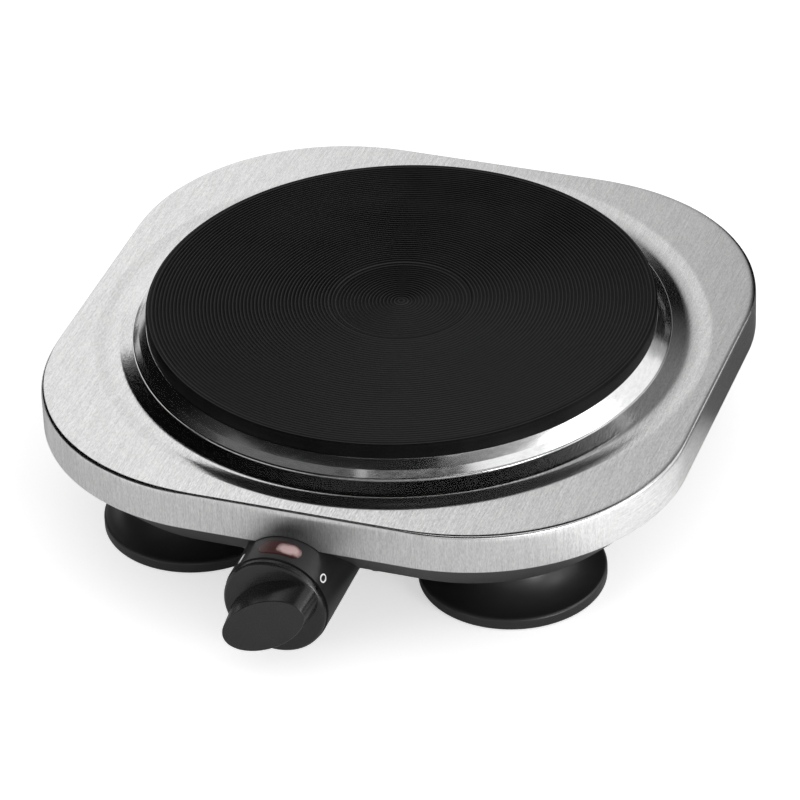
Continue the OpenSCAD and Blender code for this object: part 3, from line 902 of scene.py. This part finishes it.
@dataclass
class CookingPlate:
    """Cast-iron plate with machined grooves and a recessed centre."""

    top: float = 68.5
    radius: float = 92.5
    side: float = 5.6
    chamfer: float = 0.8
    body: float = 88.0
    body_depth: float = 7.0
    first_crest: float = 90.25
    last_crest: float = 1.0
    recess: float = 24.8
    recess_depth: float = 0.8
    recess_slope: float = 0.9
    margin: float = 1.2
    pitch: float = 1.33
    groove: float = 0.25
    fine_groove: float = 0.2
    ridge: Profile = ((0.0, 0.12), (0.22, 0.0), (0.5, 0.06), (0.7, 0.75), (0.82, 1.0))

    def grooves(
        self, start: float, end: float, level: float, depth: float
    ) -> list[tuple[float, float]]:
        """Gives rounded ridges from an outer to an inner radius.

        Args:
            start: outer radius.
            end: inner radius.
            level: height of the crests.
            depth: depth of the grooves.

        Returns:
            Points of the ridges, five for each.
        """
        points = []
        for i in range(int((start - end) / self.pitch)):
            outer = start - i * self.pitch
            for part, drop in self.ridge:
                points.append((outer - part * self.pitch, level - drop * depth))
        return points

    def build(self) -> Piece:
        """Models the plate.

        Returns:
            The finished piece.
        """
        top, under, floor = self.top, self.top - self.side, self.top - self.recess_depth
        rim = [
            (self.body, under),
            (self.radius, under),
            (self.radius, top - self.chamfer),
            (self.radius - self.chamfer, top),
            (self.radius - 1.5, top),
        ]
        step = [
            (self.recess + self.recess_slope + 0.2, top),
            (self.recess + self.recess_slope, top),
            (self.recess, floor),
            (self.recess - self.recess_slope, floor),
        ]
        profile = (
            [(0, under - self.body_depth), (self.body, under - self.body_depth)]
            + soften(rim, radius=0.35, steps=3)
            + self.grooves(self.first_crest, self.recess + self.margin, top, self.groove)
            + soften(step, radius=0.3, steps=3)
            + self.grooves(self.recess - self.margin, self.last_crest, floor, self.fine_groove)
            + [(0, floor)]
        )
        piece = Bench.lathe("plate_casting", profile, steps=240)
        Bench.place(piece, (0, PLATE_Y, 0))
        Bench.smooth(piece, angle=40)
        return piece


@dataclass
class SpillRing:
    """Polished ring between the plate and the collar."""

    inner: float = 88.3
    plate: float = 92.6
    outer: float = 97.9
    top: float = 62.9
    foot: float = 57.0
    sheet: float = 0.75

    def build(self) -> Piece:
        """Models the ring.

        Returns:
            The finished piece.
        """
        belly = ((self.plate + self.outer) / 2 + 0.10, (self.top + self.foot) / 2 + 0.10)
        corners = [
            (self.inner, self.top - 0.1),
            (self.plate, self.top - 0.05),
            belly,
            (self.outer - 0.65, self.foot + 0.7),
            (self.outer - 0.35, self.foot + 0.45),
            (self.outer - 0.02, self.foot + 0.42),
            (self.outer, self.foot + 0.1),
            (self.outer - 0.9, self.foot + 0.35),
            (self.plate - 0.4, self.top - self.sheet),
            (self.inner, self.top - self.sheet),
            (self.inner, self.top - 0.1),
        ]
        profile = soften(corners, radius=0.12, steps=4)
        piece = Bench.lathe("ring_polished", profile, steps=240)
        Bench.place(piece, (0, PLATE_Y, 0))
        Bench.smooth(piece, angle=50)
        return piece


@dataclass
class BellFeet:
    """Four flared feet with a straight rim."""

    spread: float = 60.0
    radius: float = 33.7
    rim: float = 4.8
    ledge: float = 2.2
    height: float = 21.6
    neck: float = 17.0
    shell: float = 2.2
    flare_steps: int = 24
    lift: float = 0.3
    seat_depth: float = 1.6
    seat_outer: float = 1.0
    seat_inner: float = 4.0
    seat_wall: float = 5.2
    bore: float = 2.2
    head: float = 4.4
    post: float = 6.0
    head_top: float = 11.0
    post_end: float = 9.0
    names: tuple[tuple[str, int, int], ...] = (
        ("foot_front_left", -1, -1),
        ("foot_front_right", 1, -1),
        ("foot_rear_left", -1, 1),
        ("foot_rear_right", 1, 1),
    )

    def profile(self) -> list[tuple[float, float]]:
        """Gives the closed section of one foot.

        Returns:
            Radius and height of each point, in millimetres.
        """
        reach = self.radius - self.ledge - self.neck
        rise = self.height - self.rim
        flare = []
        for i in range(self.flare_steps + 1):
            turn = math.radians(90 * i / self.flare_steps)
            out, up = reach * (1 - math.sin(turn)), rise * (1 - math.cos(turn))
            flare.append((self.neck + out, self.rim + up))
        rim = [
            (self.radius - self.seat_outer, self.seat_depth),
            (self.radius - self.seat_outer, self.lift),
            (self.radius - 0.3, self.lift),
            (self.radius, 0.8),
            (self.radius, self.rim - 0.7),
            (self.radius - 0.7, self.rim),
            flare[0],
        ]
        screw = [
            (self.bore, self.height),
            (self.bore, self.head_top),
            (self.head, self.head_top),
            (self.head, self.post_end),
            (self.post, self.post_end),
            (self.post, self.height - self.shell),
        ]
        inside = [(r - self.shell, z - self.shell) for r, z in reversed(flare)]
        seat = [
            (self.radius - self.seat_wall, self.rim - self.shell),
            (self.radius - self.seat_wall, self.lift),
            (self.radius - self.seat_inner, self.lift),
            (self.radius - self.seat_inner, self.seat_depth),
            (self.radius - self.seat_outer, self.seat_depth),
        ]
        return soften(rim, radius=0.35, steps=3) + flare[1:] + screw + inside + seat

    def build(self) -> list[tuple[Piece, str]]:
        """Models one foot and copies it.

        Returns:
            Each foot with the CAD node that it stands for.
        """
        first = Bench.lathe("bell_foot", self.profile(), steps=128)
        Bench.smooth(first, angle=32)
        feet = []
        for name, side, depth in self.names:
            foot = first.copy()
            foot.data = first.data.copy()
            foot.name = "bell_" + name
            bpy.context.scene.collection.objects.link(foot)
            reach = self.spread * MM
            Bench.place(foot, (side * reach, depth * reach + PLATE_Y, 0))
            feet.append((foot, name))
        bpy.data.objects.remove(first)
        return feet


@dataclass
class FrontControl:
    """The knob, and the marks printed on its housing."""

    housing: float = 19.0
    foot: float = 131.4
    rest: float = 33.0
    dial_radius: float = 18.6
    dial_top: float = 3.0
    dial_web: float = 1.2
    hub: float = 6.0
    bore: float = 3.05
    face: float = 12.0
    pointer: Triple = (2.0, 1.1, 2.2)
    grip_end: float = 14.0
    grip_foot: Triple = (2.7, 18.5, 10.6)
    grip_rings: tuple[Triple, ...] = ((3.1, 18.45, 10.35), (3.6, 18.36, 10.12), (14.0, 17.2, 9.15))
    zero_half: tuple[float, float] = (1.42, 2.12)
    zero_hollow: tuple[float, float] = (0.60, 0.72)
    zero_angle: float = 33.3
    zero_depth: float = 126.5
    end_size: tuple[float, float] = (1.2, 4.9)
    end_angle: float = 135.6
    end_depth: float = 127.3
    ink_thick: float = 0.06
    ink_proud: float = 0.04

    def on_axis(self, piece: Piece) -> None:
        """Turns a piece of the knob to rest and lays it on the knob's axis.

        Args:
            piece: the piece, its height along Z.
        """
        Bench.place(piece, (0, 0, 0), (0, 0, self.rest))
        Bench.place(piece, (KNOB_X, PLATE_Y - self.foot * MM, KNOB_Z), (90, 0, 0))

    def dial(self) -> Piece:
        """Models the knob's flat dial with the pointer notch in its rim.

        Returns:
            The finished piece.
        """
        edge, top, web = self.dial_radius, self.dial_top, self.dial_web
        rim = [
            (self.hub, web),
            (edge - 2.0, web),
            (edge - 2.0, 0),
            (edge - 0.2, 0),
            (edge, 0.3),
            (edge, top - 0.9),
            (edge - 0.9, top),
            (self.face, top),
        ]
        hub = [(0, web), (self.bore, web), (self.bore, 0), (self.hub, 0)]
        profile = hub + soften(rim, radius=0.5, steps=4) + [(0, top)]
        piece = Bench.lathe("knob_dial", profile, steps=200)
        Bench.clear()
        bpy.ops.mesh.primitive_cube_add(size=MM, location=((edge - 0.3) * MM, 0, 0.4 * MM))
        bpy.ops.transform.resize(value=self.pointer)
        Bench.cut(piece, bpy.context.active_object)
        self.on_axis(piece)
        Bench.smooth(piece, angle=32)
        return piece

    def grip(self) -> Piece:
        """Models the oval grip that tapers from the dial to its flat end.

        Returns:
            The finished piece.
        """
        Bench.clear()
        bpy.ops.mesh.primitive_circle_add(vertices=144, radius=MM, location=(0, 0, 0))
        piece = Bench.keep("knob_grip")
        height, wide, deep = self.grip_foot
        Bench.stretch(wide, deep)
        bpy.ops.transform.translate(value=(0, 0, height * MM))
        for z, a, b in self.grip_rings:
            Bench.raised((z - height) * MM)
            Bench.stretch(a / wide, b / deep)
            height, wide, deep = z, a, b
        bpy.ops.mesh.edge_face_add()
        Bench.pick_edges(piece, lambda end: abs(end.z - self.grip_end * MM) < TOUCHING)
        bpy.ops.mesh.bevel(offset=0.4 * MM, segments=4, affect="EDGES")
        Bench.pick_edges(piece, lambda end: abs(end.z - self.grip_foot[0] * MM) < TOUCHING)
        bpy.ops.mesh.edge_face_add()
        Bench.close()
        self.on_axis(piece)
        Bench.smooth(piece, angle=35, weighted=True)
        return piece

    def zero_mark(self) -> Piece:
        """Models the printed 0 that lies on the round housing.

        Returns:
            The finished piece.
        """
        Bench.clear()
        bpy.ops.mesh.primitive_circle_add(vertices=64, radius=MM, location=(0, 0, 0))
        piece = Bench.keep("zero_mark")
        Bench.stretch(*self.zero_half)
        Bench.raised(0)
        Bench.stretch(*self.zero_hollow)
        self.print_on(piece, self.zero_angle, self.zero_depth)
        return piece

    def end_mark(self) -> Piece:
        """Models the printed line at the far end of the scale.

        Returns:
            The finished piece.
        """
        Bench.clear()
        bpy.ops.mesh.primitive_grid_add(x_subdivisions=4, y_subdivisions=6, size=MM)
        piece = Bench.keep("end_mark")
        Bench.stretch(*self.end_size)
        self.print_on(piece, self.end_angle, self.end_depth)
        return piece

    def print_on(self, piece: Piece, angle: float, depth: float) -> None:
        """Wraps a flat mark on the housing.

        Args:
            piece: the mark, flat about the origin, in edit mode.
            angle: its place round the axis, from +X, in degrees.
            depth: its distance from the plate's axis, in millimetres.
        """
        bpy.ops.object.mode_set(mode="OBJECT")
        lift = self.housing + self.ink_proud
        for vertex in piece.data.vertices:
            swing = math.radians(angle) - vertex.co.x / (self.housing * MM)
            x = KNOB_X + math.cos(swing) * lift * MM
            z = KNOB_Z + math.sin(swing) * lift * MM
            vertex.co = (x, PLATE_Y - depth * MM + vertex.co.y, z)
        Bench.apply(piece, "SOLIDIFY", thickness=self.ink_thick * MM, offset=0)


@dataclass(frozen=True)
class Lamp:
    """Square soft lamp that looks at the object.

    Attributes:
        name: name of the lamp.
        at: its place.
        size: its side.
        power: its power.
        seen: whether glossy surfaces mirror it.
    """

    name: str
    at: Triple
    size: float
    power: float
    seen: bool = True

    def hang(self) -> None:
        """Hangs the lamp."""
        data = bpy.data.lights.new(self.name, "AREA")
        data.size = self.size
        data.energy = self.power
        light = bpy.data.objects.new(self.name, data)
        light.location = self.at
        light.visible_glossy = self.seen
        sight = Vector(self.at) - Vector(LAMPS_LOOK_AT)
        light.rotation_euler = sight.to_track_quat("Z", "Y").to_euler()
        bpy.context.scene.collection.objects.link(light)


@dataclass(frozen=True)
class Card:
    """Flag that only polished and brushed surfaces see.

    Attributes:
        name: name of the card.
        at: its middle.
        size: its sides along its own X and Y.
        turn: its turns about X, Y and Z, in degrees.
        grey: its brightness.
        fade: brightness of its left edge, and the places along its X between which it
            falls to the card's own, from -0.5 to 0.5.
    """

    name: str
    at: Triple
    size: tuple[float, float]
    turn: Triple
    grey: float
    fade: Triple | None = None

    def stand(self) -> None:
        """Stands the card in its place."""
        Bench.clear()
        bpy.ops.mesh.primitive_plane_add(size=1, location=self.at)
        piece = bpy.context.active_object
        piece.name = self.name
        piece.scale = (*self.size, 1)
        piece.rotation_euler = [math.radians(a) for a in self.turn]
        sheet = NodeSheet(self.name)
        glow = (self.grey, self.grey, self.grey, 1)
        sheet.fixed(Base_Color=(0, 0, 0, 1), Emission_Color=glow, Emission_Strength=1.0)
        sheet.fixed(Roughness=1.0, Specular_IOR_Level=0.0)
        if self.fade:
            edge, start, end = self.fade
            split = sheet.add("ShaderNodeSeparateXYZ")
            sheet.join(sheet.coords.outputs["Object"], split.inputs["Vector"])
            share = sheet.spread(split.outputs["X"], edge / self.grey, 1.0, start, end)
            sheet.feed("Emission Strength", share)
        piece.data.materials.append(sheet.material)
        piece.visible_camera = False
        piece.visible_diffuse = False
        piece.visible_shadow = False


LAMPS = (
    Lamp("lamp_key", (1.6, 0.3, 1.1), 0.8, 5.0),
    Lamp("lamp_low", (1.60, -0.85, 0.50), 0.7, 12.0),
    Lamp("lamp_graze", (-0.90, -1.30, 0.36), 0.6, 6.0, False),
)
LEVEL, ALONG_X, ALONG_Y, ON_END = (0, 0, 0), (90, 0, 0), (90, 0, 90), (90, -90, 0)
CARDS = (
    Card("card_roof", (-0.62, 0.685, 1.65), (2.55, 1.13), LEVEL, 0.002),
    Card("card_roof_left", (-1.12, -0.61, 1.65), (1.55, 1.46), LEVEL, 0.01),
    Card("card_roof_front", (0.15, -0.82, 1.65), (1.0, 1.04), LEVEL, 0.01),
    Card("card_left", (-1.60, -0.25, 0.74), (1.12, 1.48), ALONG_Y, 0.004, (0.05, -0.5, 0.08)),
    Card("card_left_back", (-1.60, 0.81, 0.95), (1.0, 1.9), ALONG_Y, 0.004),
    Card("card_left_low", (-1.60, 1.43, 0.30), (0.26, 0.6), ALONG_Y, 0.02),
    Card("card_front_left", (-1.226, -1.512, 1.367), (2.0, 0.99), (70, 0, -40), 0.13),
    Card("card_front_left_high", (-1.00, -1.50, 2.20), (2.4, 1.2), (60, 0, -35), 0.035),
    Card("card_front", (0.765, -1.717, 2.295), (1.7, 1.03), (50, 0, 20), 0.01),
    Card("card_front_low", (0.25, -2.20, 0.55), (2.0, 1.1), (85, 0, 0), 0.35),
    Card(
        "card_right_high", (0.95, -0.25, 1.31), (1.5, 0.45), (38, 0, 75), 0.45, (0.05, -0.5, 0.1)
    ),
    Card("card_back", (0.15, 1.30, 0.83), (1.54, 1.66), ALONG_X, 0.20, (1.0, -0.47, -0.06)),
    Card("card_back_low", (0.37, 1.25, 0.475), (0.95, 0.76), ON_END, 0.18, (0.003, 0.0, 0.42)),
    Card("card_back_side", (0.86, 1.25, 0.25), (0.22, 0.5), ALONG_X, 0.35),
    Card("card_floor_right", (0.45, -0.14, 0.002), (0.6, 0.42), LEVEL, 1.35),
    Card("card_floor_back", (0.33, 0.53, 0.003), (0.56, 0.94), LEVEL, 0.01),
)


@dataclass
class Studio:
    """Camera, floor and soft light."""

    place: Triple = (0.50397, -1.376649, 1.03603)
    turn: Triple = (55.594283, 1.86071, 18.726106)
    lens: float = 220.223
    sensor: float = 36
    sight: float = 50
    floor_size: float = 12
    floor_white: float = 0.86
    floor_lift: float = 0.56
    world_level: float = 0.60

    def camera(self) -> None:
        """Sets up the camera."""
        data = bpy.data.cameras.new("camera")
        data.lens = self.lens
        data.sensor_width = self.sensor
        data.clip_end = self.sight
        eye = bpy.data.objects.new("camera", data)
        eye.location = self.place
        eye.rotation_euler = [math.radians(a) for a in self.turn]
        bpy.context.scene.collection.objects.link(eye)
        bpy.context.scene.camera = eye

    def floor(self) -> None:
        """Lays the pale floor."""
        Bench.clear()
        bpy.ops.mesh.primitive_plane_add(size=self.floor_size, location=(0, 0, -0.2 * MM))
        ground = bpy.context.active_object
        ground.name = "floor"
        white = self.floor_white
        sheet = NodeSheet("floor_white")
        sheet.fixed(Base_Color=(white, white, white, 1), Roughness=0.9, Specular_IOR_Level=0.0)
        sheet.fixed(Emission_Color=(1, 1, 1, 1))
        rays = sheet.add("ShaderNodeLightPath").outputs
        glow = sheet.spread(rays["Is Camera Ray"], 0.0, self.floor_lift, 0, 1)
        sheet.feed("Emission Strength", glow)
        ground.data.materials.append(sheet.material)

    def world(self) -> None:
        """Sets the white surroundings and their plain light."""
        world = bpy.data.worlds.new("studio")
        bpy.context.scene.world = world
        world.use_nodes = True
        nodes, links = world.node_tree.nodes, world.node_tree.links
        nodes.clear()
        rays = nodes.new("ShaderNodeLightPath").outputs
        seen = rays["Is Camera Ray"]
        for ray in ("Is Glossy Ray", "Is Transmission Ray"):
            either = nodes.new("ShaderNodeMath")
            either.operation = "MAXIMUM"
            links.new(seen, either.inputs[0])
            links.new(rays[ray], either.inputs[1])
            seen = either.outputs[0]
        level = nodes.new("ShaderNodeMapRange")
        level.inputs["To Min"].default_value = self.world_level
        level.inputs["To Max"].default_value = 1.0
        links.new(seen, level.inputs["Value"])
        back = nodes.new("ShaderNodeBackground")
        back.inputs["Color"].default_value = (1, 1, 1, 1)
        links.new(level.outputs["Result"], back.inputs["Strength"])
        links.new(back.outputs["Background"], nodes.new("ShaderNodeOutputWorld").inputs["Surface"])

    def build(self) -> None:
        """Sets up the studio."""
        bpy.context.scene.view_settings.view_transform = "Standard"
        self.camera()
        self.floor()
        self.world()
        for lamp in LAMPS:
            lamp.hang()
        for card in CARDS:
            card.stand()


def dress_nodes(finishes: Finishes) -> None:
    """Dresses every CAD node, on view or inside.

    Args:
        finishes: the shared finishes.
    """
    groups = {
        finishes.cover: ["top_cover"],
        finishes.ring: ["spill_ring"],
        finishes.iron: ["hot_plate"],
        finishes.base: ["base_pan"],
        finishes.housing: ["control_housing", "cord_gland"],
        finishes.knob: ["knob"],
        finishes.foot: [name for name, _, _ in BellFeet.names],
        finishes.rubber: [name.replace("foot", "pad") for name, _, _ in BellFeet.names],
        finishes.lens: ["pilot_lens"],
        finishes.zinc: [
            "cover_brackets", "plate_backing", "clamp_bar", "heat_shield", "plate_washer",
            "thermostat_frame", "knob_clip",
        ],
        finishes.screw: [
            "plate_stud", "plate_nut", "housing_screws", "thermostat_screws", "spindle",
            "foot_screws",
        ],
        finishes.brass: ["plate_terminals", "mains_screws", "contact_leaf", "bimetal_leaf"],
        finishes.coil: ["inner_coil", "outer_coil"],
        finishes.ceramic: [
            "terminal_block", "thermal_cutout", "mains_block", "thermostat_body", "leaf_post",
            "adjust_pin",
        ],
        finishes.magnesia: ["inner_filler", "outer_filler"],
        finishes.bulb: ["neon_lamp"],
        finishes.brown: ["live_lead"],
        finishes.blue: ["neutral_lead"],
        finishes.black: ["switched_lead"],
        finishes.white: ["lamp_lead"],
    }
    for material, nodes in groups.items():
        for node in nodes:
            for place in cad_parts[node].material_slots:
                place.material = material
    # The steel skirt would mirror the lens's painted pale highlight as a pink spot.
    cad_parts["pilot_lens"].visible_glossy = False


def main() -> None:
    """Builds the appliance and its studio."""
    logging.basicConfig(level=logging.INFO, format="%(name)s: %(message)s")
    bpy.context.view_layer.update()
    finishes = Finishes()
    dress_nodes(finishes)
    hand_over(SteelCover().build(), Body.APPLIANCE, "cover_steel", finishes.cover, "top_cover")
    hand_over(CookingPlate().build(), Body.APPLIANCE, "plate_iron", finishes.iron, "hot_plate")
    hand_over(SpillRing().build(), Body.APPLIANCE, "ring_steel", finishes.ring, "spill_ring")
    for foot, node in BellFeet().build():
        hand_over(foot, Body.APPLIANCE, "foot_black", finishes.foot, node)
    control = FrontControl()
    hand_over(control.dial(), Body.CONTROL, "knob_black", finishes.knob, "knob")
    hand_over(control.grip(), Body.CONTROL, "knob_black", finishes.knob)
    hand_over(control.zero_mark(), Body.APPLIANCE, "control_black", finishes.ink)
    hand_over(control.end_mark(), Body.APPLIANCE, "control_black", finishes.ink)
    Studio().build()


if __name__ == "__main__":
    main()
